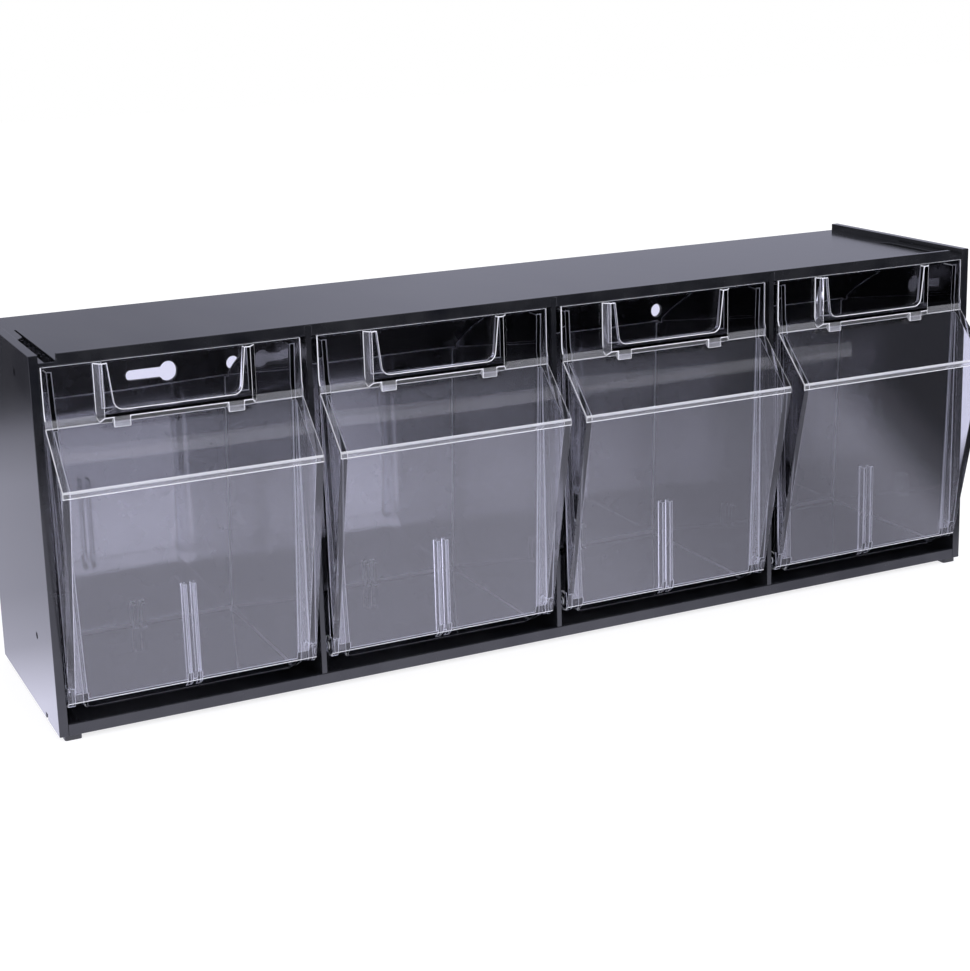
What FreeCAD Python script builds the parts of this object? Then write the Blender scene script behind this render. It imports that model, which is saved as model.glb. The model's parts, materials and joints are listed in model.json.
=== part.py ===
import FreeCAD, Part
import math
import os
import re

import Sketcher

# Tilt bin storage unit in millimetres. X runs to the right, Y to the rear, Z up.
# Heights are measured from the underside of the cabinet and depths from its front face.
SIZES = {
    # Cabinet shell
    "cabinet_width": 600.0,
    "cabinet_depth": 139.4,
    "cabinet_height": 206.8,
    "end_skin": 1.0,
    "partition_wall": 3.0,
    "back_wall": 2.8,
    "bottom_wall": 2.8,
    "top_wall": 2.0,
    "rail_wall": 3.0,
    "top_rail_height": 6.2,
    "bottom_rail_height": 6.6,
    "joint_gap": 0.15,
    # Slots for stacking in the top panel
    "slot_inset": 8.5,
    "slot_width": 6.0,
    "slot_front": 1.0,
    "slot_length": 68.0,
    "slot_skew": 7.0,
    "seam_width": 1.2,
    "seam_length": 22.0,
    # Rib below the top panel that stops an open bin, and rib that a shut bin rests on
    "stop_rib_front": 6.0,
    "stop_rib_wall": 3.0,
    "stop_rib_depth": 2.9,
    "rest_rib_front": 95.0,
    "rest_rib_wall": 2.0,
    "rest_gap": 0.3,
    # Tongues and screw clearance of the partitions
    "tongue_depth": 1.5,
    "tongue_top_gap": 1.0,
    "access_depth": 18.0,
    "access_height": 30.0,
    "access_round": 3.0,
    # Holes in the back panel
    "screw_drop": 40.3,
    "screw_hole_radius": 4.15,
    "keyhole_spacing": 400.0,
    "keyhole_shift": 10.0,
    "keyhole_head_radius": 5.5,
    "keyhole_neck_radius": 2.75,
    "keyhole_travel": 23.25,
    # Holes and notch in the end panels
    "join_hole_radius": 2.0,
    "join_hole_setback": 37.5,
    "join_hole_top_inset": 15.0,
    "join_hole_low_height": 45.5,
    "notch_setback": 27.0,
    "notch_width": 4.0,
    "notch_height": 3.4,
    # Feet
    "foot_height": 2.6,
    "foot_width": 9.3,
    "foot_length": 12.0,
    "foot_side_inset": 2.8,
    "foot_end_inset": 0.5,
    "foot_round": 1.5,
    # Room round the bins
    "side_gap": 3.15,
    "end_gap": 0.65,
    "top_gap": 0.3,
    "rear_gap": 17.1,
    "rim_clearance": 0.8,
    "sweep_clearance": 1.2,
    # Pivot
    "pivot_height": 20.9,
    "pivot_setback": 5.0,
    "pin_radius": 2.0,
    "pin_clearance": 0.05,
    "pin_end_clearance": 0.2,
    "lug_radius": 6.0,
    "lug_width": 4.0,
    # Bin
    "bin_wall": 2.0,
    "wing_wall": 4.0,
    "band_height": 24.5,
    "band_chamfer": 3.4,
    "strip_height": 4.5,
    "strip_proud": 1.2,
    "panel_drop": 26.9,
    "nose_reach": 28.6,
    "nose_height": 3.2,
    "nose_round": 1.8,
    "floor_height": 10.4,
    "floor_setback": 8.0,
    "front_foot_rise": 7.5,
    "front_foot_proud": 1.0,
    "rear_round": 8.0,
    "tub_top_setback": 3.2,
    "tub_low_setback": 9.3,
    "tub_round": 6.0,
    # Slots for a divider inside the bin
    "guide_wall": 2.3,
    "guide_slot": 2.9,
    "front_guide_height": 63.0,
    "front_guide_setback": 5.5,
    "rear_guide_height": 17.0,
    "rear_guide_depth": 6.0,
    # Label frame
    "frame_width": 87.2,
    "frame_height": 32.7,
    "frame_top_drop": 0.4,
    "frame_proud": 5.0,
    "frame_edge": 1.0,
    "frame_side_bevel": 3.6,
    "frame_low_bevel": 3.7,
    "frame_round": 5.0,
    "frame_side_top": 6.8,
    "frame_side_low": 9.6,
    "window_height": 25.0,
    "window_round": 5.0,
    "card_slot_depth": 0.8,
    "card_slot_lip": 2.0,
    "tab_width": 9.0,
    "tab_height": 5.6,
    "tab_drop": 1.6,
    "tab_inset": 12.7,
    # How far a cutting shape runs past what it cuts
    "overrun": 5.0,
}

BIN_COUNT = 4

# Sizes that follow from the ones above
WORKED_OUT = {
    "pin_reach": "side_gap + partition_wall / 2 - pin_end_clearance",
    "socket_depth": "pin_reach - end_gap + pin_end_clearance",
    "end_wall": "socket_depth + end_skin",
    "inner_width": "cabinet_width - 2 * end_wall",
    "spare_width": f"2 * end_gap + {BIN_COUNT - 1} * (2 * side_gap + partition_wall)",
    "bin_width": f"(inner_width - spare_width) / {BIN_COUNT}",
    "pitch": "bin_width + 2 * side_gap + partition_wall",
    "front_place": "(nose_reach - cabinet_depth) / 2",
    "inner_depth": "cabinet_depth - back_wall",
    "top_under": "cabinet_height - top_rail_height",
    "top_surface": "top_under + top_wall",
    "stop_under": "top_under - stop_rib_depth",
    "screw_height": "top_under - screw_drop",
    "rest_top": "floor_height - rest_gap",
    "pivot_hole_radius": "pin_radius + pin_clearance",
    "bin_depth": "inner_depth - rear_gap",
    "band_top": "top_under - top_gap",
    "band_bottom": "band_top - band_height",
    "strip_top": "band_bottom - band_chamfer",
    "strip_bottom": "strip_top - strip_height",
    "nose_top": "strip_bottom - panel_drop",
    "nose_bottom": "nose_top - nose_height",
    "front_foot_height": "floor_height + front_foot_rise",
    "open_top": "band_top + bin_wall + overrun",
    "rim_radius": "stop_under - pivot_height - rim_clearance",
    "rear_sweep": "top_under - pivot_height - sweep_clearance",
    "rear_rise": "sqrt(rear_sweep ^ 2 - (bin_depth - pivot_setback) ^ 2)",
    "rear_top": "pivot_height + rear_rise",
    "frame_top": "band_top - frame_top_drop",
    "frame_bottom": "frame_top - frame_height",
    "window_top_half": "frame_width / 2 - frame_side_top",
    "window_low_half": "frame_width / 2 - frame_side_low",
    "tab_centre": "frame_width / 2 - tab_inset",
}

UPRIGHT_SIDE = FreeCAD.Rotation(FreeCAD.Vector(1, 1, 1), 120)
UPRIGHT_FRONT = FreeCAD.Rotation(FreeCAD.Vector(1, 0, 0), 90)
FLAT = FreeCAD.Rotation()
ALONG_X = FreeCAD.Rotation(FreeCAD.Vector(0, 1, 0), 90)


def spelled(text):
    """Expression in the sheet's aliases for a text in the names of SIZES and WORKED_OUT."""
    def alias(match):
        name = match.group()
        if name in WORKED_OUT:
            return f"({spelled(WORKED_OUT[name])})"
        return f"Sizes.{name}" if name in SIZES else name
    return re.sub(r"[a-z]\w*", alias, text)


def value(doc, text):
    """Number that a text in named sizes stands for."""
    return float(doc.Sizes.evalExpression(spelled(text)))


def bind(thing, path, text):
    thing.setExpression(path, spelled(text))


def place(thing, x="0", y="0", z="0"):
    for axis, text in zip("xyz", (x, y, z)):
        bind(thing, f"Placement.Base.{axis}", text)


def stand(thing, x="0"):
    """Puts a finished piece in the part's own frame: centred, standing on the floor."""
    place(thing, x, "front_place", "foot_height")


def rounding(before, corner, after, radius):
    """Tangent points, centre and turn of a round corner between two straight sides."""
    back = (before - corner).normalize()
    ahead = (after - corner).normalize()
    half = back.getAngle(ahead) / 2
    run = radius / math.tan(half)
    centre = corner + (back + ahead).normalize() * (radius / math.sin(half))
    left_turn = back.cross(ahead).z < 0
    return corner + back * run, corner + ahead * run, centre, left_turn


def draw(sketch, corners):
    """Closed outline through corners: (across, up) or (across, up, radius), as named sizes."""
    doc = sketch.Document
    points = [FreeCAD.Vector(value(doc, c[0]), value(doc, c[1]), 0) for c in corners]
    count = len(corners)
    starts, ends, arcs = list(points), list(points), {}
    for i, corner in enumerate(corners):
        if len(corner) == 3:
            radius = value(doc, corner[2])
            first, second, centre, left = rounding(points[i - 1], points[i], points[(i + 1) % count], radius)
            ends[i], starts[i], arcs[i] = first, second, (centre, radius, left)
    sides = []
    for i in range(count):
        sides.append(sketch.addGeometry(Part.LineSegment(starts[i], ends[(i + 1) % count]), False))
    for i, corner in enumerate(corners):
        pin(sketch, corner, points[i], sides[i - 1], sides[i], ends[i], starts[i], arcs.get(i))


def pin(sketch, corner, point, side_in, side_out, arc_in, arc_out, arc):
    """Ties one corner of an outline to its named sizes, with an arc where it is round."""
    if arc is None:
        sketch.addConstraint(Sketcher.Constraint("Coincident", side_in, 2, side_out, 1))
        tie_point(sketch, side_out, 1, point, corner)
        return
    centre, radius, left = arc
    first, second = (arc_in, arc_out) if left else (arc_out, arc_in)
    angles = [math.atan2(p.y - centre.y, p.x - centre.x) for p in (first, second)]
    circle = Part.Circle(centre, FreeCAD.Vector(0, 0, 1), radius)
    bend = sketch.addGeometry(Part.ArcOfCircle(circle, *angles), False)
    sketch.addConstraint(Sketcher.Constraint("Tangent", side_in, 2, bend, 1 if left else 2))
    sketch.addConstraint(Sketcher.Constraint("Tangent", side_out, 1, bend, 2 if left else 1))
    size = sketch.addConstraint(Sketcher.Constraint("Radius", bend, radius))
    bind(sketch, f"Constraints[{size}]", corner[2])
    sharp = sketch.addGeometry(Part.Point(point), True)
    for side in (side_in, side_out):
        sketch.addConstraint(Sketcher.Constraint("PointOnObject", sharp, 1, side))
    tie_point(sketch, sharp, 1, point, corner)


def tie_point(sketch, geometry, end, point, corner):
    for kind, now, text in (("DistanceX", point.x, corner[0]), ("DistanceY", point.y, corner[1])):
        tie = sketch.addConstraint(Sketcher.Constraint(kind, geometry, end, now))
        bind(sketch, f"Constraints[{tie}]", text)


def draw_circle(sketch, across, up, radius):
    doc = sketch.Document
    centre = FreeCAD.Vector(value(doc, across), value(doc, up), 0)
    size = value(doc, radius)
    ring = sketch.addGeometry(Part.Circle(centre, FreeCAD.Vector(0, 0, 1), size), False)
    tie_point(sketch, ring, 3, centre, (across, up))
    tie = sketch.addConstraint(Sketcher.Constraint("Radius", ring, size))
    bind(sketch, f"Constraints[{tie}]", radius)


def rectangle(left, low, right, high):
    return [(left, low), (right, low), (right, high), (left, high)]


def new_body(doc, label):
    return doc.addObject("PartDesign::Body", label)


def body_sketch(body, name, role, *outlines, offset=None):
    """Sketch on one of the body's own planes, moved along its normal where an offset is given."""
    sketch = body.newObject("Sketcher::SketchObject", name)
    plane = next(item for item in body.Origin.OriginFeatures if item.Role == role)
    sketch.AttachmentSupport = [(plane, "")]
    sketch.MapMode = "FlatFace"
    if offset:
        bind(sketch, "AttachmentOffset.Base.z", offset)
    for corners in outlines:
        draw(sketch, corners)
    body.Document.recompute()
    return sketch


def pad(body, sketch, length, centred=False, backward=False):
    feature = body.newObject("PartDesign::Pad", sketch.Name + "_pad")
    feature.Profile = sketch
    feature.SideType = "Symmetric" if centred else "One side"
    feature.Reversed = backward
    bind(feature, "Length", length)
    body.Document.recompute()
    return feature


def pocket(body, sketch, depth, centred=False, backward=False):
    """Cuts a sketch's shape and makes sure that something was removed."""
    before = body.Shape.Volume
    feature = body.newObject("PartDesign::Pocket", sketch.Name + "_pocket")
    feature.Profile = sketch
    feature.SideType = "Symmetric" if centred else "One side"
    feature.Reversed = backward
    bind(feature, "Length", depth)
    body.Document.recompute()
    if not body.Shape.Volume < before:
        raise ValueError(f"{feature.Name} cuts nothing")
    return feature


def partition_place(number):
    return f"{number - BIN_COUNT / 2} * pitch"


def bin_place(number):
    return f"{number - (BIN_COUNT + 1) / 2} * pitch"


def across_partitions(front, rear):
    """Rectangles that clear each partition, from one depth to another."""
    half = "(partition_wall / 2 + joint_gap)"
    return [
        rectangle(f"{partition_place(i)} - {half}", front, f"{partition_place(i)} + {half}", rear)
        for i in range(1, BIN_COUNT)
    ]


# Cabinet

def make_top_panel(doc):
    body = new_body(doc, "top_panel")
    profile = body_sketch(body, "top_profile", "YZ_Plane", [
        ("0", "top_under"),
        ("stop_rib_front", "top_under"),
        ("stop_rib_front", "stop_under"),
        ("stop_rib_front + stop_rib_wall", "stop_under"),
        ("stop_rib_front + stop_rib_wall", "top_under"),
        ("cabinet_depth", "top_under"),
        ("cabinet_depth", "top_surface"),
        ("rail_wall", "top_surface"),
        ("rail_wall", "cabinet_height"),
        ("0", "cabinet_height"),
    ])
    pad(body, profile, "inner_width", centred=True)
    rib_breaks = across_partitions("stop_rib_front - joint_gap", "stop_rib_front + stop_rib_wall + joint_gap")
    breaks = body_sketch(body, "stop_rib_breaks", "XY_Plane", *rib_breaks, offset="top_under")
    pocket(body, breaks, "stop_rib_depth + overrun")
    tongue_slots = across_partitions("0 - overrun", "tongue_depth")
    slots = body_sketch(body, "tongue_slots", "XY_Plane", *tongue_slots,
                        offset="cabinet_height - tongue_top_gap")
    pocket(body, slots, "top_rail_height + overrun")
    for side in (-1, 1):
        cut_stacking_slot(body, side)
    stand(body)


def cut_stacking_slot(body, side):
    """Slot through the plate with a slanted end and a seam, and the open corner of the rail before it."""
    outer = f"{side} * (cabinet_width / 2 - slot_inset)"
    inner = f"{side} * (cabinet_width / 2 - slot_inset - slot_width)"
    seam = f"{side} * (cabinet_width / 2 - slot_inset - slot_width + seam_width)"
    beyond = f"{side} * (inner_width / 2 + overrun)"
    hand = "left" if side < 0 else "right"
    slot = body_sketch(body, f"{hand}_stacking_slot", "XY_Plane", [
        (outer, "slot_front"),
        (inner, "slot_front"),
        (inner, "slot_length + slot_skew + seam_length"),
        (seam, "slot_length + slot_skew + seam_length"),
        (seam, "slot_length + slot_skew"),
        (outer, "slot_length"),
    ], offset="top_surface")
    pocket(body, slot, "top_wall + overrun")
    mouth = body_sketch(body, f"{hand}_slot_mouth", "XY_Plane",
                        rectangle(beyond, "0 - overrun", inner, "rail_wall + overrun"),
                        offset="cabinet_height")
    pocket(body, mouth, "cabinet_height - top_surface")


def make_bottom_panel(doc):
    body = new_body(doc, "bottom_panel")
    profile = body_sketch(body, "bottom_profile", "YZ_Plane", [
        ("0", "0"),
        ("cabinet_depth", "0"),
        ("cabinet_depth", "bottom_wall"),
        ("rest_rib_front + rest_rib_wall", "bottom_wall"),
        ("rest_rib_front + rest_rib_wall", "rest_top"),
        ("rest_rib_front", "rest_top"),
        ("rest_rib_front", "bottom_wall"),
        ("rail_wall", "bottom_wall"),
        ("rail_wall", "bottom_rail_height"),
        ("0", "bottom_rail_height"),
    ])
    pad(body, profile, "inner_width", centred=True)
    rib_breaks = across_partitions("rest_rib_front - joint_gap", "rest_rib_front + rest_rib_wall + joint_gap")
    breaks = body_sketch(body, "rest_rib_breaks", "XY_Plane", *rib_breaks, offset="rest_top + overrun")
    pocket(body, breaks, "rest_top + overrun - bottom_wall")
    stand(body)


def make_back_panel(doc):
    body = new_body(doc, "back_panel")
    half = "inner_width / 2"
    sheet_outline = rectangle(f"0 - {half}", "bottom_wall", half, "top_under")
    profile = body_sketch(body, "back_outline", "XZ_Plane", sheet_outline, offset="0 - cabinet_depth")
    pad(body, profile, "back_wall")
    heads = [f"keyhole_shift + {side} * keyhole_spacing / 2" for side in (-1, 1)]
    necks = [f"{head} - keyhole_travel" for head in heads]
    holes = body_sketch(body, "back_holes", "XZ_Plane", offset="0 - inner_depth")
    for number in (1, BIN_COUNT - 1):
        draw_circle(holes, partition_place(number), "screw_height", "screw_hole_radius")
    for head, neck in zip(heads, necks):
        draw_circle(holes, head, "screw_height", "keyhole_head_radius")
        draw_circle(holes, neck, "screw_height", "keyhole_neck_radius")
    doc.recompute()
    pocket(body, holes, "back_wall + overrun")
    low, high = "screw_height - keyhole_neck_radius", "screw_height + keyhole_neck_radius"
    slots = [rectangle(neck, low, head, high) for head, neck in zip(heads, necks)]
    pocket(body, body_sketch(body, "keyhole_slots", "XZ_Plane", *slots, offset="0 - inner_depth"),
           "back_wall + overrun")
    stand(body)


def make_end_panel(doc, label, side):
    """Side wall with its inner face on the body's own YZ plane, growing outwards."""
    body = new_body(doc, label)
    profile = body_sketch(body, label + "_profile", "YZ_Plane", [
        ("0", "0"),
        ("notch_setback", "0"),
        ("notch_setback", "notch_height"),
        ("notch_setback + notch_width", "notch_height"),
        ("notch_setback + notch_width", "0"),
        ("cabinet_depth", "0"),
        ("cabinet_depth", "cabinet_height"),
        ("0", "cabinet_height"),
    ])
    pad(body, profile, "end_wall", backward=side < 0)
    holes = body_sketch(body, label + "_join_holes", "YZ_Plane")
    for height in ("join_hole_low_height", "cabinet_height - join_hole_top_inset"):
        draw_circle(holes, "join_hole_setback", height, "join_hole_radius")
    doc.recompute()
    pocket(body, holes, "end_wall + overrun", backward=side > 0)
    socket = body_sketch(body, label + "_socket", "YZ_Plane")
    draw_circle(socket, "pivot_setback", "pivot_height", "pivot_hole_radius")
    doc.recompute()
    pocket(body, socket, "socket_depth", backward=side > 0)
    stand(body, f"{side} * inner_width / 2")


def make_partition(doc, number):
    body = new_body(doc, f"partition_{number}")
    access_low = "screw_height - access_height / 2"
    access_high = "screw_height + access_height / 2"
    profile = body_sketch(body, f"partition_profile_{number}", "YZ_Plane", [
        ("0", "bottom_rail_height"),
        ("rail_wall", "bottom_rail_height"),
        ("rail_wall", "bottom_wall"),
        ("inner_depth", "bottom_wall"),
        ("inner_depth", access_low),
        ("inner_depth - access_depth", access_low, "access_round"),
        ("inner_depth - access_depth", access_high, "access_round"),
        ("inner_depth", access_high),
        ("inner_depth", "top_under"),
        ("tongue_depth - joint_gap", "top_under"),
        ("tongue_depth - joint_gap", "cabinet_height - tongue_top_gap - joint_gap"),
        ("0", "cabinet_height - tongue_top_gap - joint_gap"),
    ])
    pad(body, profile, "partition_wall", centred=True)
    hole = body_sketch(body, f"partition_pivot_{number}", "YZ_Plane")
    draw_circle(hole, "pivot_setback", "pivot_height", "pivot_hole_radius")
    doc.recompute()
    pocket(body, hole, "partition_wall + 2 * overrun", centred=True)
    stand(body, partition_place(number))


def make_foot(doc, label, side, end):
    """Low pad under a corner of the cabinet, hanging below its underside."""
    body = new_body(doc, label)
    near = f"{side} * (cabinet_width / 2 - foot_side_inset)"
    far = f"{side} * (cabinet_width / 2 - foot_side_inset - foot_width)"
    front = "foot_end_inset" if end < 0 else "cabinet_depth - foot_end_inset"
    back = f"{front} - {end} * foot_length"
    outline = [(near, front), (far, front), (far, back), (near, back)]
    sketch = body_sketch(body, label + "_outline", "XY_Plane",
                         [(across, up, "foot_round") for across, up in outline])
    pad(body, sketch, "foot_height", backward=True)
    stand(body)


# Bins

def free_sketch(doc, name, turn, corners):
    sketch = doc.addObject("Sketcher::SketchObject", name)
    sketch.Placement = FreeCAD.Placement(FreeCAD.Vector(), turn)
    draw(sketch, corners)
    doc.recompute()
    return sketch


def swept(doc, name, base, length, way=None):
    """Solid from a flat outline: evenly to both sides along X, or one way along another axis."""
    solid = doc.addObject("Part::Extrusion", name)
    solid.Base = base
    solid.DirMode = "Custom"
    solid.Dir = way or FreeCAD.Vector(1, 0, 0)
    solid.Symmetric = way is None
    solid.Solid = True
    bind(solid, "LengthFwd", length)
    return solid


def inset(doc, name, base):
    """Outline one wall inside another."""
    line = doc.addObject("Part::Offset2D", name)
    line.Source = base
    line.Join = "Intersection"
    bind(line, "Value", "0 - bin_wall")
    return line


def block(doc, name, low, high):
    """Upright block between two corners given as named sizes."""
    solid = doc.addObject("Part::Box", name)
    for size, axis in zip(("Length", "Width", "Height"), range(3)):
        bind(solid, size, f"({high[axis]}) - ({low[axis]})")
    place(solid, *low)
    return solid


def rod(doc, name, radius, start, length):
    """Cylinder along X about the pivot line."""
    solid = doc.addObject("Part::Cylinder", name)
    solid.Placement = FreeCAD.Placement(FreeCAD.Vector(), ALONG_X)
    bind(solid, "Radius", radius)
    bind(solid, "Height", length)
    place(solid, start, "pivot_setback", "pivot_height")
    return solid


def cut(doc, name, base, tool):
    result = doc.addObject("Part::Cut", name)
    result.Base = base
    result.Tool = tool
    return result


def join(doc, name, *shapes):
    result = doc.addObject("Part::MultiFuse", name)
    result.Shapes = list(shapes)
    return result


def shared(doc, name, *shapes):
    result = doc.addObject("Part::MultiCommon", name)
    result.Shapes = list(shapes)
    return result


def bin_silhouette(doc, tag):
    """Side view of the bin's full block: band, strip, slanted panel, nose, lower front and floor."""
    return free_sketch(doc, f"silhouette_{tag}", UPRIGHT_SIDE, [
        ("0", "open_top"),
        ("0", "band_bottom"),
        ("0 - strip_proud", "strip_top"),
        ("0 - strip_proud", "strip_bottom"),
        ("0 - nose_reach", "nose_top", "nose_round"),
        ("0 - nose_reach", "nose_bottom", "nose_round"),
        ("0 - front_foot_proud", "front_foot_height"),
        ("floor_setback", "floor_height"),
        ("bin_depth", "floor_height", "rear_round"),
        ("bin_depth", "open_top"),
    ])


def tub_section(doc, tag):
    """Front view of the drafted tub behind the wide front, with round lower edges."""
    top = "bin_width / 2 - tub_top_setback"
    low = "bin_width / 2 - tub_low_setback"
    return free_sketch(doc, f"tub_section_{tag}", UPRIGHT_FRONT, [
        (f"0 - ({top})", "open_top"),
        (f"0 - ({low})", "floor_height", "tub_round"),
        (low, "floor_height", "tub_round"),
        (top, "open_top"),
    ])


def make_bin(doc, number):
    """Clear bin: a wide front with thick wings and a narrower drafted tub, with its pins and guides."""
    tag = str(number)
    half = "bin_width / 2"
    rear = FreeCAD.Vector(0, 1, 0)
    silhouette = bin_silhouette(doc, tag)
    section = tub_section(doc, tag)
    solid = swept(doc, f"solid_{tag}", silhouette, "bin_width")
    room = swept(doc, f"room_{tag}", inset(doc, f"room_line_{tag}", silhouette), "bin_width - 2 * wing_wall")
    tub = swept(doc, f"tub_{tag}", section, "bin_depth + overrun", rear)
    place(tub, y="bin_wall")
    tub_room = swept(doc, f"tub_room_{tag}", inset(doc, f"tub_line_{tag}", section),
                     "bin_depth + overrun", rear)
    ahead = "0 - nose_reach - overrun"
    front_zone = block(doc, f"front_zone_{tag}", (f"0 - {half}", ahead, "0"), (half, "bin_wall", "band_top"))
    front_room_zone = block(doc, f"front_room_zone_{tag}", (f"0 - {half}", ahead, "0"),
                            (half, "0", "open_top"))
    front = shared(doc, f"front_{tag}", solid, front_zone)
    tub_solid = shared(doc, f"tub_solid_{tag}", solid, tub)
    front_hollow = shared(doc, f"front_hollow_{tag}", room, front_room_zone)
    tub_hollow = shared(doc, f"tub_hollow_{tag}", room, tub_room)
    above_rim = block(doc, f"above_rim_{tag}", (f"0 - {half}", "bin_wall", "pivot_height"),
                      (half, "bin_depth - bin_wall", "open_top + overrun"))
    rim = rod(doc, f"rim_{tag}", "rim_radius", f"0 - {half}", "bin_width")
    above_rear = block(doc, f"above_rear_{tag}", (f"0 - {half}", "bin_depth - bin_wall - overrun", "rear_top"),
                       (half, "bin_depth + overrun", "open_top + overrun"))
    outside = join(doc, f"outside_{tag}", front, tub_solid)
    removed = join(doc, f"removed_{tag}", front_hollow, tub_hollow,
                   cut(doc, f"rim_cut_{tag}", above_rim, rim), above_rear)
    shell = cut(doc, f"shell_{tag}", outside, removed)
    made = join(doc, f"bin_{tag}", shell, *pivots(doc, tag), guides(doc, tag, tub_hollow))
    stand(made, bin_place(number))
    return solid


def pivots(doc, tag):
    """A round lug and a pin at each lower front corner."""
    half = "bin_width / 2"
    return [
        rod(doc, f"left_lug_{tag}", "lug_radius", f"0 - {half}", "lug_width"),
        rod(doc, f"right_lug_{tag}", "lug_radius", f"{half} - lug_width", "lug_width"),
        rod(doc, f"left_pin_{tag}", "pin_radius", f"0 - {half} - pin_reach", "pin_reach + lug_width"),
        rod(doc, f"right_pin_{tag}", "pin_radius", f"{half} - lug_width", "pin_reach + lug_width"),
    ]


def guides(doc, tag, hollow):
    """Two pairs of low ribs, on the front and rear walls, that hold a divider between them."""
    ribs = []
    for hand, side in (("left", -1), ("right", 1)):
        near = "guide_slot / 2"
        far = "guide_slot / 2 + guide_wall"
        low, high = (near, far) if side > 0 else (f"0 - ({far})", f"0 - {near}")
        ribs.append(block(doc, f"{hand}_front_guide_{tag}", (low, "0 - nose_reach", "0"),
                          (high, "front_guide_setback", "floor_height + front_guide_height")))
        ribs.append(block(doc, f"{hand}_rear_guide_{tag}", (low, "bin_depth - bin_wall - rear_guide_depth", "0"),
                          (high, "bin_depth", "floor_height + rear_guide_height")))
    pair = join(doc, f"guide_blocks_{tag}", *ribs)
    return shared(doc, f"guides_{tag}", pair, hollow)


# Label frames

def make_label_frame(doc, number, bin_solid):
    """U-shaped frame with bevelled sides, seated on the band and strip, with two clip tabs."""
    tag = str(number)
    half = "frame_width / 2"
    face = "frame_proud"
    side_view = free_sketch(doc, f"frame_side_{tag}", UPRIGHT_SIDE, [
        ("overrun", "frame_bottom"),
        ("0 - frame_edge", "frame_bottom"),
        (f"0 - {face}", "frame_bottom + frame_low_bevel"),
        (f"0 - {face}", "frame_top"),
        ("overrun", "frame_top"),
    ])
    front_view = free_sketch(doc, f"frame_front_{tag}", UPRIGHT_FRONT, [
        (f"0 - {half}", "frame_top"),
        (f"0 - {half}", "frame_bottom", "frame_round"),
        (half, "frame_bottom", "frame_round"),
        (half, "frame_top"),
        ("window_top_half", "frame_top"),
        ("window_low_half", "frame_top - window_height", "window_round"),
        ("0 - window_low_half", "frame_top - window_height", "window_round"),
        ("0 - window_top_half", "frame_top"),
    ])
    plan = free_sketch(doc, f"frame_plan_{tag}", FLAT, [
        (f"0 - {half}", "overrun"),
        (f"0 - {half}", "0 - frame_edge"),
        (f"frame_side_bevel - {half}", f"0 - {face}"),
        (f"{half} - frame_side_bevel", f"0 - {face}"),
        (half, "0 - frame_edge"),
        (half, "overrun"),
    ])
    ring = shared(doc, f"frame_ring_{tag}",
                  swept(doc, f"frame_depth_{tag}", side_view, "frame_width"),
                  swept(doc, f"frame_face_{tag}", front_view, "frame_proud + 2 * overrun", FreeCAD.Vector(0, -1, 0)),
                  swept(doc, f"frame_bevel_{tag}", plan, "open_top", FreeCAD.Vector(0, 0, 1)))
    tabs = []
    for hand, side in (("left", -1), ("right", 1)):
        middle = f"{side} * tab_centre"
        tabs.append(block(doc, f"{hand}_tab_{tag}",
                          (f"{middle} - tab_width / 2", f"0 - {face}", "frame_bottom - tab_drop"),
                          (f"{middle} + tab_width / 2", "bin_wall", "frame_bottom - tab_drop + tab_height")))
    card_half = "window_top_half + card_slot_lip"
    card_slot = block(doc, f"card_slot_{tag}",
                      (f"0 - ({card_half})", "0 - card_slot_depth", "band_bottom"),
                      (card_half, "overrun", "frame_top + overrun"))
    blank = join(doc, f"frame_blank_{tag}", ring, *tabs)
    taken = join(doc, f"frame_seat_{tag}", bin_solid, card_slot)
    stand(cut(doc, f"label_frame_{tag}", blank, taken), bin_place(number))


def make_sheet(doc):
    sheet = doc.addObject("Spreadsheet::Sheet", "Sizes")
    for row, (name, size) in enumerate(SIZES.items(), 1):
        sheet.set(f"A{row}", name)
        sheet.set(f"B{row}", str(size))
        sheet.setAlias(f"B{row}", name)
    doc.recompute()


def make_pieces(doc):
    """All pieces of the unit; returns the labels of the finished ones."""
    make_top_panel(doc)
    make_bottom_panel(doc)
    make_back_panel(doc)
    for label, side in (("left_end_panel", -1), ("right_end_panel", 1)):
        make_end_panel(doc, label, side)
    for number in range(1, BIN_COUNT):
        make_partition(doc, number)
    feet = {"front_left_foot": (-1, -1), "front_right_foot": (1, -1),
            "rear_left_foot": (-1, 1), "rear_right_foot": (1, 1)}
    for label, (side, end) in feet.items():
        make_foot(doc, label, side, end)
    for number in range(1, BIN_COUNT + 1):
        solid = make_bin(doc, number)
        make_label_frame(doc, number, solid)
    panels = ["top_panel", "bottom_panel", "back_panel", "left_end_panel", "right_end_panel"]
    partitions = [f"partition_{n}" for n in range(1, BIN_COUNT)]
    bins = [f"{kind}_{n}" for n in range(1, BIN_COUNT + 1) for kind in ("bin", "label_frame")]
    return panels + partitions + list(feet) + bins


def check(doc, labels):
    """Stops before anything is written if an object failed or a piece is not one sound solid."""
    for thing in doc.Objects:
        if "Invalid" in thing.State or "Error" in thing.State:
            raise ValueError(f"{thing.Label} failed: {thing.State}")
    for label in labels:
        shape = doc.getObject(label).Shape
        if shape.isNull() or not shape.isValid() or len(shape.Solids) != 1:
            raise ValueError(f"{label} is not one sound solid")


def main():
    os.makedirs("parts", exist_ok=True)
    doc = FreeCAD.newDocument("tilt_bin_unit")
    make_sheet(doc)
    labels = make_pieces(doc)
    doc.recompute()
    check(doc, labels)
    for label in labels:
        doc.getObject(label).Shape.exportStep(f"parts/{label}.step")


main()
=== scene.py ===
"""Finishes and stage for a bench or wall storage unit with a row of clear tilting bins."""

import json
import math

import bpy
from bpy.props import FloatProperty, FloatVectorProperty, IntProperty, PointerProperty
from mathutils import Matrix, Vector


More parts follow.
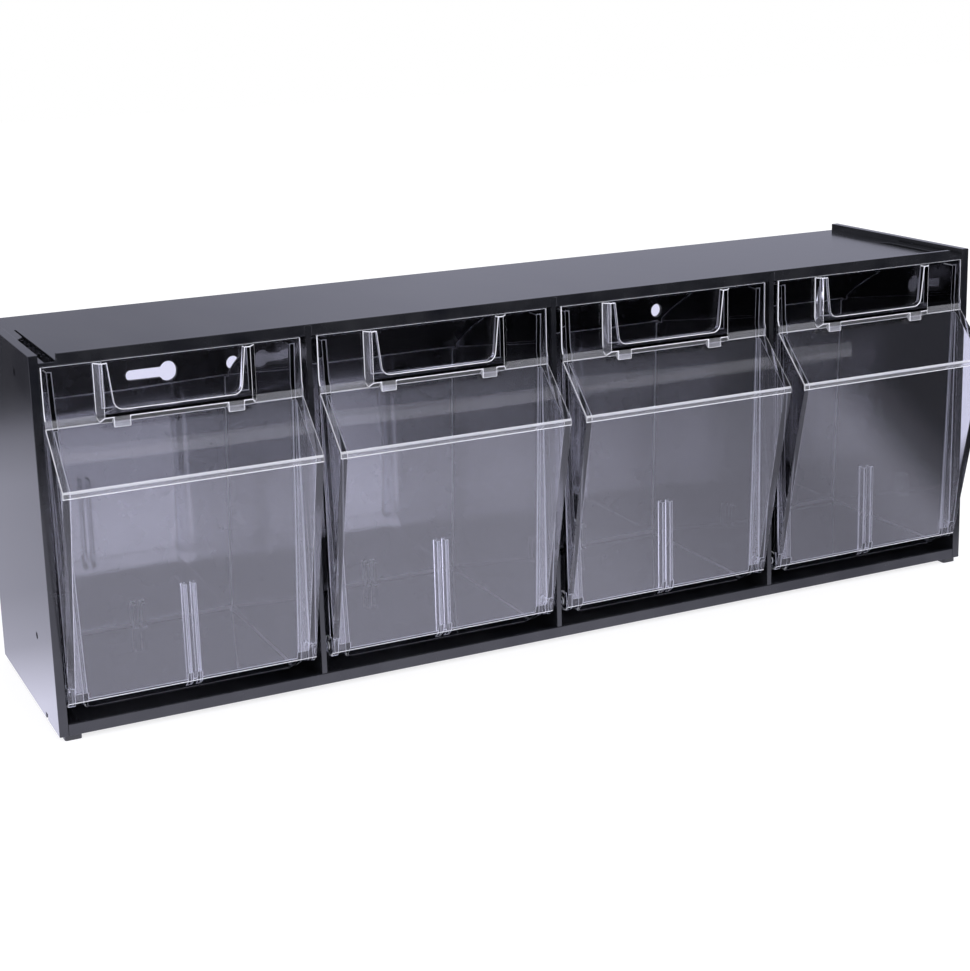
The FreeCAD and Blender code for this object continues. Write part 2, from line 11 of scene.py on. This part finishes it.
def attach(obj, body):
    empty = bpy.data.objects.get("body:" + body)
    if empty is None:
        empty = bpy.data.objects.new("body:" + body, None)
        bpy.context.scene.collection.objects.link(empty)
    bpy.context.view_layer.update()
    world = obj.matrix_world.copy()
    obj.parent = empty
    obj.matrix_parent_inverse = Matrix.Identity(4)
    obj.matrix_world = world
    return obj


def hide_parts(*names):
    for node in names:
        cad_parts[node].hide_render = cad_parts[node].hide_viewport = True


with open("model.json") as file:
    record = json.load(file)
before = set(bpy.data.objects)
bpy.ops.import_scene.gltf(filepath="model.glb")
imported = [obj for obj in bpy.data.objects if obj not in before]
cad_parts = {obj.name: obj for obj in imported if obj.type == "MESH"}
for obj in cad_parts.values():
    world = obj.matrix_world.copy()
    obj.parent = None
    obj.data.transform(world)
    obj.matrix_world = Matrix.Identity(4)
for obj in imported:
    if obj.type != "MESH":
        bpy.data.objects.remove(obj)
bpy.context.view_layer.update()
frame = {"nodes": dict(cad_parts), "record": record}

bl_info = {
    "name": "Tilt Bin Unit",
    "version": (1, 0, 0),
    "blender": (4, 5, 0),
    "location": "3D View > Sidebar > Tilt Bins",
    "description": "Rounds the edges of a tilt bin unit, gives it its finishes and sets its stage",
    "category": "Object",
}

BODIES = frame["record"]["behaviour"]["bodies"]
CABINET = "cabinet"
FEET = [node for node in BODIES[CABINET] if node.endswith("_foot")]
PANELS = [node for node in BODIES[CABINET] if node not in FEET]
BIN_BODIES = [body for body in BODIES if body != CABINET]

# Welding distance, turn between faces that count as one, and turn that is shaded smooth
WELD = 0.00001
FLAT = math.radians(0.5)
SMOOTH = math.radians(50)

# Places of the finishes on a clear piece: the clear plastic, then the painted highlights on its edges,
# beads and strips
CLEAR, EDGE, BEAD, STRIP = range(4)

# How clear the painted highlights on the clear plastic stay (a paler, less clear finish stands in for the
# light that its edges, beads and strips catch), and the refraction of all of it
HIGHLIGHT_CLEARNESS = {"clear_edge": 0.2, "clear_bead": 0.55, "clear_strip": 0.87}
REFRACTION = 1.59

# Parts of a bin that take painted highlights, or on the wings the plain clear finish, in metres: least
# distance from its middle, where it ends towards the back, heights
BIN_PARTS = {
    "nose_low": (0.0, -0.0825, (0.1395, 0.1407)),
    "nose": (0.0, -0.0825, (0.1407, 0.1428)),
    "nose_top": (0.0, -0.0815, (0.1428, 0.1446)),
    "wing": (0.0655, -0.0575, (0.0, 0.1395)),
    "rim": (0.0692, -0.0566, (0.1412, 0.17)),
    "crease": (0.0, -0.0555, (0.1695, 0.1712)),
    "strip": (0.0, -0.056, (0.1706, 0.1752)),
}

# Bends of a bin's floor, which take a painted highlight: where they start behind the front, their top, and
# the slopes of their faces
BEND_START, BEND_TOP, BEND_SLOPES = -0.045, 0.026, (0.6, 0.8)

# Low part of a label frame, distances of its clip tabs from its middle, and what faces the front; the tabs
# and the low part take painted highlights
LABEL_TOP, LABEL_BACK = 0.174, -0.0563
TABS = (0.0262, 0.0356)
FACING = -0.5

# Floor: drop below the feet, paint, colour in mirrors, own light, and its share for the camera
FLOOR_DROP = 0.0002
FLOOR_PAINT = (0.85, 0.85, 0.86, 1.0)
FLOOR_MIRRORED = (0.82, 0.82, 1.0, 1.0)
FLOOR_WHITE, WHITE_SHARE = 1.25, 0.6

# Brightness of the floor in mirrors: beside the unit against its own, behind it along Y, and along X
FLOOR_NEAR = 1.15
FLOOR_BEHIND = ((0.1, 1.1), (0.2, 0.85), (0.47, 0.77), (0.62, 0.5), (0.72, 0.18), (0.8, 0.07), (1.2, 0.07))
FLOOR_ACROSS = ((-1.5, 1.0), (0.0, 1.0), (0.05, 1.0), (0.14, 0.73), (0.2, 0.66), (0.24, 0.62),
                (0.29, 0.76), (0.31, 0.76), (0.345, 0.28), (0.38, 0.11), (1.0, 0.1))
FLOOR_BEYOND = ((0.0, 0.0), (0.1, 0.0), (0.2, 1.0), (1.0, 1.0))

# Brightness of the room in mirrors, along Z and X overhead and along Y and X behind, and its colours
ROOM_HEIGHT = ((-0.3, 0.05), (0.1, 0.08), (0.5, 0.4), (1.0, 0.9))
ROOM_SIDE = ((-1.0, 1.0), (0.25, 1.0), (0.6, 0.35), (1.0, 0.3))
ROOM_BEHIND = ((-1.0, 0.0), (0.1, 0.0), (0.4, 0.5), (1.0, 0.5))
ROOM_RIGHT = ((-1.0, 0.9), (0.25, 0.9), (0.4, 1.25), (1.0, 1.25))
ROOM_BEYOND = ((-1.0, 0.0), (0.1, 0.0), (0.3, 1.0), (1.0, 1.0))
ROOM_COLOUR = (0.97, 0.97, 1.0, 1.0)
ROOM_MIRRORED = (0.8, 0.81, 1.0, 1.0)
WHITE = (1.0, 1.0, 1.0, 1.0)

# Lamps: name, place, aim, size, power setting, and whether mirrors and clear plastic show it
LAMPS = (
    ("key_lamp", (-2.2, -0.6, 1.6), (0.0, 0.0, 0.1), (1.4, 1.2), "key_power", True),
    ("tube_lamp", (-0.05, -0.407, 1.5), (-0.05, -0.407, 0.0), (2.5, 0.018), "tube_power", True),
    ("front_lamp", (0.9, -1.8, 1.0), (0.1, 0.0, 0.17), (2.4, 0.5), "front_power", False),
)
LAMP_COLOUR = (0.9, 0.9, 1.0)
SENSOR = 36.0


def colour(name, description, default):
    return FloatVectorProperty(name=name, description=description, default=default, size=3,
                               min=0.0, max=1.0, subtype="COLOR")


def length(name, description, default):
    return FloatProperty(name=name, description=description, default=default,
                         subtype="DISTANCE", unit="LENGTH")


def angle(name, description, degrees):
    return FloatProperty(name=name, description=description, default=math.radians(degrees),
                         subtype="ANGLE")


def power(name, description, default):
    return FloatProperty(name=name, description=description, default=default,
                         subtype="POWER", unit="POWER")


class TiltBinEdges(bpy.types.PropertyGroup):
    """Rounding of the moulded edges"""
    panel: length("Panel edges", "Rounding of the cabinet's panels", 0.0004)
    clear: length("Bin edges", "Rounding of the clear bins", 0.0005)
    label: length("Label frame edges", "Rounding of the label frames", 0.0004)
    foot: length("Foot edges", "Rounding of the feet", 0.0005)
    steps: IntProperty(name="Steps", description="Faces across each rounded edge", default=2, min=1, max=4)
    sharpest: angle("Sharp from", "Smallest turn between two faces that is rounded", 25)
    shortest: length("Shortest edge", "Shortest edge of a dark piece that is rounded", 0.0022)


class TiltBinColours(bpy.types.PropertyGroup):
    """Colours of the plastics, and of the painted highlight on the edges of the clear plastic"""
    cabinet: colour("Cabinet", "Black plastic of the cabinet", (0.006, 0.0065, 0.009))
    foot: colour("Feet", "Plastic of the feet", (0.01, 0.01, 0.011))
    clear: colour("Clear plastic", "Tint of the bins", (0.95, 0.95, 0.985))
    # painted highlight: pale colour of the edges of the clear plastic, standing in for the light they catch
    edge: colour("Clear edges", "Light that the edges of the clear plastic gather", (0.93, 0.94, 1.0))


class TiltBinStage(bpy.types.PropertyGroup):
    """Camera, lamps and floor"""
    camera_place: FloatVectorProperty(name="Camera place", description="Where the camera stands",
                                      default=(-0.4871, -0.9843, 0.4013), size=3,
                                      subtype="TRANSLATION", unit="LENGTH")
    camera_turn: angle("Camera turn", "Turn of the camera to the right of straight ahead", 25.45)
    camera_drop: angle("Camera drop", "Tilt of the camera below the horizon", 13.24)
    camera_roll: angle("Camera roll", "Turn of the camera about its own axis", -1.58)
    lens: FloatProperty(name="Lens", description="Focal length in millimetres", default=69.0)
    shift: FloatProperty(name="Shift", description="Upright shift of the picture", default=-0.097)
    floor_size: length("Floor", "Side of the floor", 8.0)
    key_power: power("Key lamp", "Power of the large soft lamp at the left", 20.0)
    tube_power: power("Tube lamp", "Power of the long lamp overhead", 0.1)
    front_power: power("Front lamp", "Power of the wide lamp in front", 22.0)
    room_light: FloatProperty(name="Room light", description="Strength of the even light all round",
                              default=1.0, min=0.0)
    floor_light: FloatProperty(name="Floor light", description="Brightness of the lit floor in mirrors",
                               default=1.8, min=0.0)
    floor_edge: length("Floor edge", "How far in front of the unit the lit part of the floor ends", 0.54)


def only(*things):
    """Selects these objects alone, the first of them active."""
    if bpy.context.object and bpy.context.object.mode != "OBJECT":
        bpy.ops.object.mode_set(mode="OBJECT")
    bpy.ops.object.select_all(action="DESELECT")
    for thing in things:
        thing.select_set(True)
    bpy.context.view_layer.objects.active = things[0]


def corners(mesh):
    """Lowest and highest corner of a mesh."""
    places = [tuple(vertex.co) for vertex in mesh.vertices]
    return [min(along) for along in zip(*places)], [max(along) for along in zip(*places)]


def keep_inside(mesh, low, high):
    """Pulls back the few corners that the rounding pushed past the box of the CAD piece."""
    for vertex in mesh.vertices:
        vertex.co = [min(max(part, least), most) for part, least, most in zip(vertex.co, low, high)]


def rounded_copy(node, name, width, shortest, *finishes):
    """Copy of a CAD piece, welded, with its sharp edges above a length rounded in the last finish."""
    edges = bpy.context.scene.tilt_bin_edges
    piece = bpy.data.objects.new(name, frame["nodes"][node].data.copy())
    bpy.context.scene.collection.objects.link(piece)
    piece.data.materials.clear()
    box = corners(piece.data)
    for finish in finishes:
        piece.data.materials.append(finish)
    only(piece)
    bpy.ops.object.mode_set(mode="EDIT")
    bpy.ops.mesh.select_all(action="SELECT")
    bpy.ops.mesh.remove_doubles(threshold=WELD)
    if shortest:
        bpy.ops.mesh.dissolve_limited(angle_limit=FLAT)
    bpy.ops.mesh.select_all(action="DESELECT")
    bpy.ops.mesh.select_mode(type="EDGE")
    bpy.ops.mesh.edges_select_sharp(sharpness=edges.sharpest)
    bpy.ops.object.mode_set(mode="OBJECT")
    mesh = piece.data
    weights = mesh.attributes.new("bevel_weight_edge", "FLOAT", "EDGE")
    for edge in mesh.edges:
        ends = [mesh.vertices[index].co for index in edge.vertices]
        if edge.select and (ends[0] - ends[1]).length >= shortest:
            weights.data[edge.index].value = 1.0
    bevel = piece.modifiers.new("Rounding", "BEVEL")
    bevel.width = width
    bevel.segments = edges.steps
    bevel.limit_method = "WEIGHT"
    bevel.use_clamp_overlap = False
    # the rounded faces take the last finish; on a clear piece that is the painted edge highlight
    bevel.material = len(finishes) - 1
    bpy.ops.object.modifier_apply(modifier=bevel.name)
    keep_inside(mesh, *box)
    bpy.ops.object.shade_smooth_by_angle(angle=SMOOTH)
    level = piece.modifiers.new("Flat faces", "WEIGHTED_NORMAL")
    level.keep_sharp = True
    level.weight = 100
    bpy.ops.object.modifier_apply(modifier=level.name)
    return piece


def dress(piece, node):
    """Gives a piece its place in the unit."""
    body = next(name for name, nodes in BODIES.items() if node in nodes)
    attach(piece, body)
    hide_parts(node)


class Finish:
    """A material with a shader and a few ways to wire patterns into it."""

    def __init__(self, name):
        self.material = bpy.data.materials.new(name)
        self.material.use_nodes = True
        self.tree = self.material.node_tree
        self.shader = self.tree.nodes["Principled BSDF"]
        self.place = self.add("ShaderNodeTexCoord").outputs["Object"]

    def add(self, kind, **settings):
        node = self.tree.nodes.new(kind)
        for key, setting in settings.items():
            setattr(node, key, setting)
        return node

    def link(self, output, socket):
        self.tree.links.new(output, socket)

    def noise(self, scale, detail=2.0, stretch=(1.0, 1.0, 1.0)):
        mapping = self.add("ShaderNodeMapping")
        mapping.inputs["Scale"].default_value = stretch
        self.link(self.place, mapping.inputs["Vector"])
        noise = self.add("ShaderNodeTexNoise")
        noise.inputs["Scale"].default_value = scale
        noise.inputs["Detail"].default_value = detail
        self.link(mapping.outputs["Vector"], noise.inputs["Vector"])
        return noise.outputs["Fac"]

    def spread(self, source, low, high, start=0.3, end=0.7):
        """Maps a pattern from start and end to two values."""
        spread = self.add("ShaderNodeMapRange")
        for socket, number in (("From Min", start), ("From Max", end), ("To Min", low), ("To Max", high)):
            spread.inputs[socket].default_value = number
        self.link(source, spread.inputs["Value"])
        return spread.outputs["Result"]

    def between(self, source, first, second):
        """Mixes two colours by a pattern."""
        mix = self.add("ShaderNodeMix", data_type="RGBA")
        mix.inputs["A"].default_value = (*first, 1.0)
        mix.inputs["B"].default_value = (*second, 1.0)
        self.link(source, mix.inputs["Factor"])
        return mix.outputs["Result"]

    def grain(self, source, strength, distance):
        bump = self.add("ShaderNodeBump")
        bump.inputs["Strength"].default_value = strength
        bump.inputs["Distance"].default_value = distance
        self.link(source, bump.inputs["Height"])
        self.link(bump.outputs["Normal"], self.shader.inputs["Normal"])

    def set(self, **values):
        for name, number in values.items():
            self.shader.inputs[name.replace("_", " ")].default_value = number


def lighter(shade, share):
    """A colour moved towards white by a share of the way."""
    return tuple(part + (1.0 - part) * share for part in shade)


def cabinet_plastic():
    """Black moulded plastic with a fine grain and faint handling marks."""
    shade = tuple(bpy.context.scene.tilt_bin_colours.cabinet)
    finish = Finish("cabinet_plastic")
    marks = finish.noise(scale=45.0, detail=4.0, stretch=(1.0, 0.35, 1.0))
    finish.link(finish.between(finish.spread(marks, low=0.0, high=1.0), shade, lighter(shade, share=0.012)),
                finish.shader.inputs["Base Color"])
    finish.link(finish.spread(marks, low=0.13, high=0.16), finish.shader.inputs["Roughness"])
    finish.grain(finish.noise(scale=600.0, detail=1.0), strength=0.02, distance=0.0001)
    return finish.material


def foot_plastic():
    """Black plastic, duller than the cabinet, with a fine speckle."""
    shade = tuple(bpy.context.scene.tilt_bin_colours.foot)
    finish = Finish("foot_plastic")
    speckle = finish.noise(scale=900.0)
    finish.link(finish.between(speckle, shade, lighter(shade, share=0.03)),
                finish.shader.inputs["Base Color"])
    finish.link(finish.spread(speckle, low=0.45, high=0.6), finish.shader.inputs["Roughness"])
    finish.grain(speckle, strength=0.1, distance=0.0001)
    return finish.material


def clear_plastic():
    """Clear moulded plastic: polished, with faint flow marks."""
    shade = tuple(bpy.context.scene.tilt_bin_colours.clear)
    finish = Finish("clear_plastic")
    flow = finish.noise(scale=14.0, detail=2.0, stretch=(1.0, 1.0, 0.3))
    finish.link(finish.between(finish.spread(flow, low=0.0, high=1.0), shade, lighter(shade, share=0.15)),
                finish.shader.inputs["Base Color"])
    finish.link(finish.spread(flow, low=0.004, high=0.02), finish.shader.inputs["Roughness"])
    finish.grain(finish.noise(scale=6.0), strength=0.02, distance=0.0002)
    finish.set(Transmission_Weight=1.0, IOR=REFRACTION)
    return finish.material


def clear_edge(name, clearness):
    """Painted highlight for parts of the clear plastic: a paler, less clear finish that stands in for the
    light they catch, paler the less clear it stays.
    """
    shade = tuple(bpy.context.scene.tilt_bin_colours.edge)
    finish = Finish(name)
    # uneven brightness of the painted highlight
    uneven = finish.noise(scale=60.0)
    finish.link(finish.between(finish.spread(uneven, low=0.0, high=1.0), shade, lighter(shade, share=0.4)),
                finish.shader.inputs["Base Color"])
    finish.link(finish.spread(uneven, low=0.12, high=0.22), finish.shader.inputs["Roughness"])
    finish.set(Transmission_Weight=clearness, IOR=REFRACTION)
    return finish.material


def centre_line(piece):
    low, high = corners(piece.data)
    return (low[0] + high[0]) / 2


def paint_bin_highlights(piece):
    """Paints highlights on the parts of a bin that catch light, as paler, less clear finishes, and gives
    the low edges of its wings the plain clear finish.
    """
    middle = centre_line(piece)
    for face in piece.data.polygons:
        side, depth, height = face.center
        parts = {name for name, (least, back, (low, high)) in BIN_PARTS.items()
                 if abs(side - middle) >= least and depth < back and low < height < high}
        bend = (depth > BEND_START and height < BEND_TOP
                and BEND_SLOPES[0] < abs(face.normal.z) < BEND_SLOPES[1])
        if "nose_top" in parts or bend or face.material_index == EDGE and parts & {"crease", "rim"}:
            face.material_index = BEAD
        elif parts & {"nose", "strip"}:
            face.material_index = STRIP
        elif "nose_low" in parts:
            face.material_index = EDGE
        elif "wing" in parts:
            face.material_index = CLEAR


def paint_label_highlights(piece):
    """Paints highlights on a label frame: its clip tabs take the painted bead highlight, the rest of its
    low part the painted strip highlight.
    """
    middle = centre_line(piece)
    for face in piece.data.polygons:
        side, depth, height = face.center
        low = height < LABEL_TOP and depth < LABEL_BACK
        if low and TABS[0] < abs(side - middle) < TABS[1] and face.normal.y > FACING:
            face.material_index = BEAD
        elif low and face.material_index == CLEAR:
            face.material_index = STRIP


class TILTBIN_OT_cabinet(bpy.types.Operator):
    """Rounds the cabinet's panels and gives them their black plastic"""
    bl_idname = "tilt_bin.cabinet"
    bl_label = "Cabinet panels"

    def execute(self, context):
        edges = context.scene.tilt_bin_edges
        plastic = cabinet_plastic()
        for node in PANELS:
            piece = rounded_copy(node, node + "_moulding", edges.panel, edges.shortest, plastic)
            dress(piece, node)
        return {"FINISHED"}


class TILTBIN_OT_feet(bpy.types.Operator):
    """Rounds the feet"""
    bl_idname = "tilt_bin.feet"
    bl_label = "Feet"

    def execute(self, context):
        edges = context.scene.tilt_bin_edges
        plastic = foot_plastic()
        for node in FEET:
            piece = rounded_copy(node, node + "_pad", edges.foot, edges.shortest, plastic)
            dress(piece, node)
        return {"FINISHED"}


class TILTBIN_OT_bins(bpy.types.Operator):
    """Rounds the clear bins and their label frames, and paints highlights on their edges as a paler finish
    """
    bl_idname = "tilt_bin.bins"
    bl_label = "Bins and label frames"

    def execute(self, context):
        edges = context.scene.tilt_bin_edges
        plastic = clear_plastic()
        # painted highlights: paler, less clear finishes for the edges, beads and strips of the clear
        # plastic
        edge, bead, strip = (clear_edge(name, clearness) for name, clearness in HIGHLIGHT_CLEARNESS.items())
        for body in BIN_BODIES:
            for node in BODIES[body]:
                width = edges.label if node.startswith("label") else edges.clear
                piece = rounded_copy(node, node + "_clear", width, 0.0, plastic, edge)
                piece.data.materials.append(bead)
                piece.data.materials.append(strip)
                if node.startswith("bin"):
                    paint_bin_highlights(piece)
                else:
                    paint_label_highlights(piece)
                dress(piece, node)
        return {"FINISHED"}


def picture_rays(tree):
    """1 for rays that the camera sends, 0 for the rest."""
    return tree.nodes.new("ShaderNodeLightPath").outputs["Is Camera Ray"]


def combine(tree, operation, first, second):
    """Two values put together by an operation of the maths node."""
    node = tree.nodes.new("ShaderNodeMath")
    node.operation = operation
    tree.links.new(first, node.inputs[0])
    tree.links.new(second, node.inputs[1])
    return node.outputs[0]


def larger(tree, first, second):
    return combine(tree, "MAXIMUM", first, second)


def mirror_rays(tree):
    """1 for rays that a polished or clear surface sends on, 0 for the rest."""
    ray = tree.nodes.new("ShaderNodeLightPath")
    return larger(tree, ray.outputs["Is Glossy Ray"], ray.outputs["Is Transmission Ray"])


def through(tree, mirrored, beyond):
    """The mirrored value, raised to the value beyond for rays that come through clear plastic."""
    clear = tree.nodes.new("ShaderNodeLightPath").outputs["Is Transmission Ray"]
    return larger(tree, mirrored, combine(tree, "MULTIPLY", clear, beyond))


def choose(tree, source, first, second):
    """The first shader where the source is 0, the second where it is 1."""
    mix = tree.nodes.new("ShaderNodeMixShader")
    tree.links.new(source, mix.inputs["Fac"])
    tree.links.new(first, mix.inputs[1])
    tree.links.new(second, mix.inputs[2])
    return mix.outputs[0]


def ramp(tree, source, stops):
    """Values along a number, given as pairs of number and value."""
    curve = tree.nodes.new("ShaderNodeFloatCurve")
    low, high = stops[0][0], stops[-1][0]
    span = tree.nodes.new("ShaderNodeMapRange")
    span.inputs["From Min"].default_value = low
    span.inputs["From Max"].default_value = high
    tree.links.new(source, span.inputs["Value"])
    points = curve.mapping.curves[0].points
    top = max(value for place, value in stops)
    for index, (place, value) in enumerate(stops):
        spot = ((place - low) / (high - low), value / top)
        if index in (0, len(stops) - 1):
            points[0 if index == 0 else -1].location = spot
        else:
            points.new(*spot)
    for point in points:
        point.handle_type = "VECTOR"
    curve.mapping.update()
    tree.links.new(span.outputs["Result"], curve.inputs["Value"])
    scale = tree.nodes.new("ShaderNodeMath")
    scale.operation = "MULTIPLY"
    scale.inputs[1].default_value = top
    tree.links.new(curve.outputs["Value"], scale.inputs[0])
    return scale.outputs[0]


def axis(tree, vector, name):
    """One part of a vector: X, Y or Z."""
    split = tree.nodes.new("ShaderNodeSeparateXYZ")
    tree.links.new(vector, split.inputs["Vector"])
    return split.outputs[name]


def floor_material(stage):
    """White floor with the unit's soft shadow; in mirrors it is bright near the unit, dark farther off."""
    material = bpy.data.materials.new("pale_floor")
    material.use_nodes = True
    tree = material.node_tree
    tree.nodes.clear()
    output = tree.nodes.new("ShaderNodeOutputMaterial")
    paint = tree.nodes.new("ShaderNodeBsdfDiffuse")
    paint.inputs["Color"].default_value = FLOOR_PAINT
    white = tree.nodes.new("ShaderNodeEmission")
    white.inputs["Strength"].default_value = FLOOR_WHITE
    mirrored = tree.nodes.new("ShaderNodeEmission")
    mirrored.inputs["Color"].default_value = FLOOR_MIRRORED
    part = tree.nodes.new("ShaderNodeMixShader")
    part.inputs["Fac"].default_value = WHITE_SHARE
    tree.links.new(paint.outputs[0], part.inputs[1])
    tree.links.new(white.outputs[0], part.inputs[2])
    depth = axis(tree, tree.nodes.new("ShaderNodeTexCoord").outputs["Object"], "Y")
    edge, lit, near = -stage.floor_edge, stage.floor_light, FLOOR_NEAR * stage.floor_light
    ahead = ((edge - 0.3, 0.05), (edge - 0.06, 0.06), (edge + 0.06, lit))
    beside = ((-0.3, lit), (-0.2, near), (0.0, near))
    light = ramp(tree, depth, ahead + beside + FLOOR_BEHIND)
    across = axis(tree, tree.nodes.new("ShaderNodeTexCoord").outputs["Object"], "X")
    light = combine(tree, "MULTIPLY", light, ramp(tree, across, FLOOR_ACROSS))
    beyond = ramp(tree, depth, FLOOR_BEYOND)
    tree.links.new(through(tree, light, beyond), mirrored.inputs["Strength"])
    seen = choose(tree, picture_rays(tree), paint.outputs[0], part.outputs[0])
    tree.links.new(choose(tree, mirror_rays(tree), seen, mirrored.outputs[0]), output.inputs["Surface"])
    return material


def set_world(stage):
    """White background; in mirrors it is dark straight ahead and pale overhead and behind."""
    world = bpy.data.worlds.new("white_room")
    world.use_nodes = True
    bpy.context.scene.world = world
    tree = world.node_tree
    tree.nodes.clear()
    output = tree.nodes.new("ShaderNodeOutputWorld")
    room, white, mirrored = (tree.nodes.new("ShaderNodeBackground") for _ in range(3))
    room.inputs["Color"].default_value = ROOM_COLOUR
    room.inputs["Strength"].default_value = stage.room_light
    white.inputs["Color"].default_value = WHITE
    mirrored.inputs["Color"].default_value = ROOM_MIRRORED
    way = tree.nodes.new("ShaderNodeTexCoord").outputs["Generated"]
    above = combine(tree, "MULTIPLY", ramp(tree, axis(tree, way, "Z"), ROOM_HEIGHT),
                    ramp(tree, axis(tree, way, "X"), ROOM_SIDE))
    behind = combine(tree, "MULTIPLY", ramp(tree, axis(tree, way, "Y"), ROOM_BEHIND),
                     ramp(tree, axis(tree, way, "X"), ROOM_RIGHT))
    beyond = ramp(tree, axis(tree, way, "Y"), ROOM_BEYOND)
    tree.links.new(through(tree, larger(tree, above, behind), beyond), mirrored.inputs["Strength"])
    seen = choose(tree, picture_rays(tree), room.outputs[0], white.outputs[0])
    tree.links.new(choose(tree, mirror_rays(tree), seen, mirrored.outputs[0]), output.inputs["Surface"])


def add_lamp(name, place, aim, size, energy, mirrored):
    """Wide lamp at a place, turned towards its aim."""
    bpy.ops.object.light_add(type="AREA", location=place)
    lamp = bpy.context.object
    lamp.name = name
    lamp.data.shape = "RECTANGLE"
    lamp.data.size, lamp.data.size_y = size
    lamp.data.energy = energy
    lamp.data.color = LAMP_COLOUR
    lamp.visible_glossy = lamp.visible_transmission = mirrored
    lamp.rotation_euler = (Vector(aim) - Vector(place)).to_track_quat("-Z", "Y").to_euler()


def add_camera(stage):
    """Camera of the photo: turned, then tilted down, then rolled about its own axis."""
    bpy.ops.object.camera_add(location=stage.camera_place)
    camera = bpy.context.object
    turn = Matrix.Rotation(-stage.camera_turn, 4, "Z")
    tilt = Matrix.Rotation(math.pi / 2 - stage.camera_drop, 4, "X")
    roll = Matrix.Rotation(stage.camera_roll, 4, "Z")
    camera.rotation_euler = (turn @ tilt @ roll).to_euler()
    camera.data.sensor_width = SENSOR
    camera.data.lens = stage.lens
    camera.data.shift_y = stage.shift
    bpy.context.scene.camera = camera


class TILTBIN_OT_stage(bpy.types.Operator):
    """Adds the floor, the white surroundings, the soft lamps and the camera"""
    bl_idname = "tilt_bin.stage"
    bl_label = "Stage"

    def execute(self, context):
        stage = context.scene.tilt_bin_stage
        bpy.ops.object.select_all(action="DESELECT")
        bpy.ops.mesh.primitive_plane_add(size=stage.floor_size, location=(0.0, 0.0, -FLOOR_DROP))
        floor = context.object
        floor.name = "floor"
        floor.data.materials.append(floor_material(stage))
        set_world(stage)
        for name, place, aim, size, setting, mirrored in LAMPS:
            add_lamp(name, place, aim, size, getattr(stage, setting), mirrored)
        add_camera(stage)
        context.scene.view_settings.view_transform = "Standard"
        return {"FINISHED"}


OPERATORS = (TILTBIN_OT_cabinet, TILTBIN_OT_feet, TILTBIN_OT_bins, TILTBIN_OT_stage)


class TILTBIN_PT_unit(bpy.types.Panel):
    """Sizes, colours and steps of the tilt bin unit"""
    bl_idname = "TILTBIN_PT_unit"
    bl_label = "Tilt Bin Unit"
    bl_space_type = "VIEW_3D"
    bl_region_type = "UI"
    bl_category = "Tilt Bins"

    def draw(self, context):
        scene = context.scene
        for group in (scene.tilt_bin_edges, scene.tilt_bin_colours, scene.tilt_bin_stage):
            box = self.layout.box()
            for name in group.__annotations__:
                box.prop(group, name)
        for operator in OPERATORS:
            self.layout.operator(operator.bl_idname)


GROUPS = {
    "tilt_bin_edges": TiltBinEdges,
    "tilt_bin_colours": TiltBinColours,
    "tilt_bin_stage": TiltBinStage,
}
CLASSES = (*GROUPS.values(), *OPERATORS, TILTBIN_PT_unit)


def register():
    for cls in CLASSES:
        bpy.utils.register_class(cls)
    for name, group in GROUPS.items():
        setattr(bpy.types.Scene, name, PointerProperty(type=group))


def unregister():
    for name in GROUPS:
        delattr(bpy.types.Scene, name)
    for cls in reversed(CLASSES):
        bpy.utils.unregister_class(cls)


def main():
    register()
    bpy.ops.tilt_bin.cabinet()
    bpy.ops.tilt_bin.feet()
    bpy.ops.tilt_bin.bins()
    bpy.ops.tilt_bin.stage()


if __name__ == "__main__":
    main()
